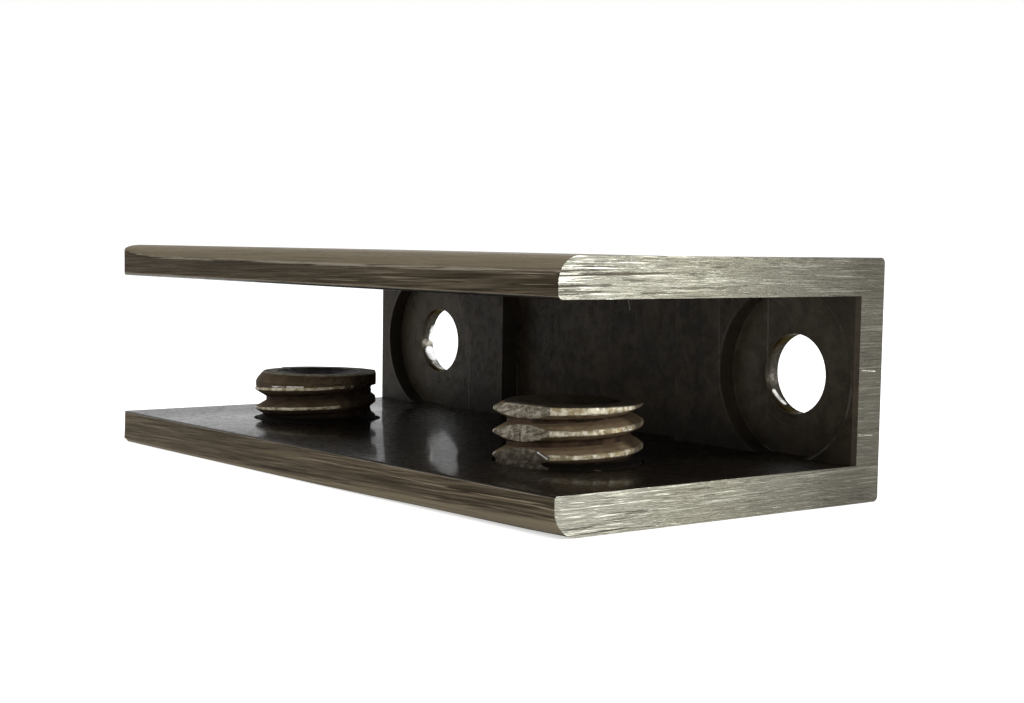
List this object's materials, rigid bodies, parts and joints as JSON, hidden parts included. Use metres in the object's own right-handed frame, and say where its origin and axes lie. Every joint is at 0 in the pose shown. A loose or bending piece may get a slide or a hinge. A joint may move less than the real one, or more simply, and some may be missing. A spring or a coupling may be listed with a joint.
{
  "type": "glass panel clamp",
  "caption": "One-piece stainless channel that holds the edge of a glass panel on a wall, with wall holes in its web and set screws in its lower flange that press on the glass.",
  "frame": {"origin": "middle of the clamp's underside", "axes": "+X along the clamp to its near end in the picture, +Y from the open mouth to the wall, +Z from the flange with the set screws to the other flange"},
  "size_m": [0.0546, 0.0272, 0.0158],
  "materials": {
    "clamp_steel": "sanded stainless steel, worn and stained",
    "screw_steel": "worn stainless steel thread with bare crests"
  },
  "bodies": {
    "clamp": {"clamp_body": "clamp_steel"},
    "near_screw": {"set_screw_near": "screw_steel"},
    "far_screw": {"set_screw_far": "screw_steel"}
  },
  "joints": [
    {"name": "near_screw_lift", "type": "slide", "parent": "clamp", "child": "near_screw", "axis": [0, 0, 1], "range_m": [-0.00392, 0.00058]},
    {"name": "far_screw_lift", "type": "slide", "parent": "clamp", "child": "far_screw", "axis": [0, 0, 1], "range_m": [-0.00367, 0.00083]}
  ]
}
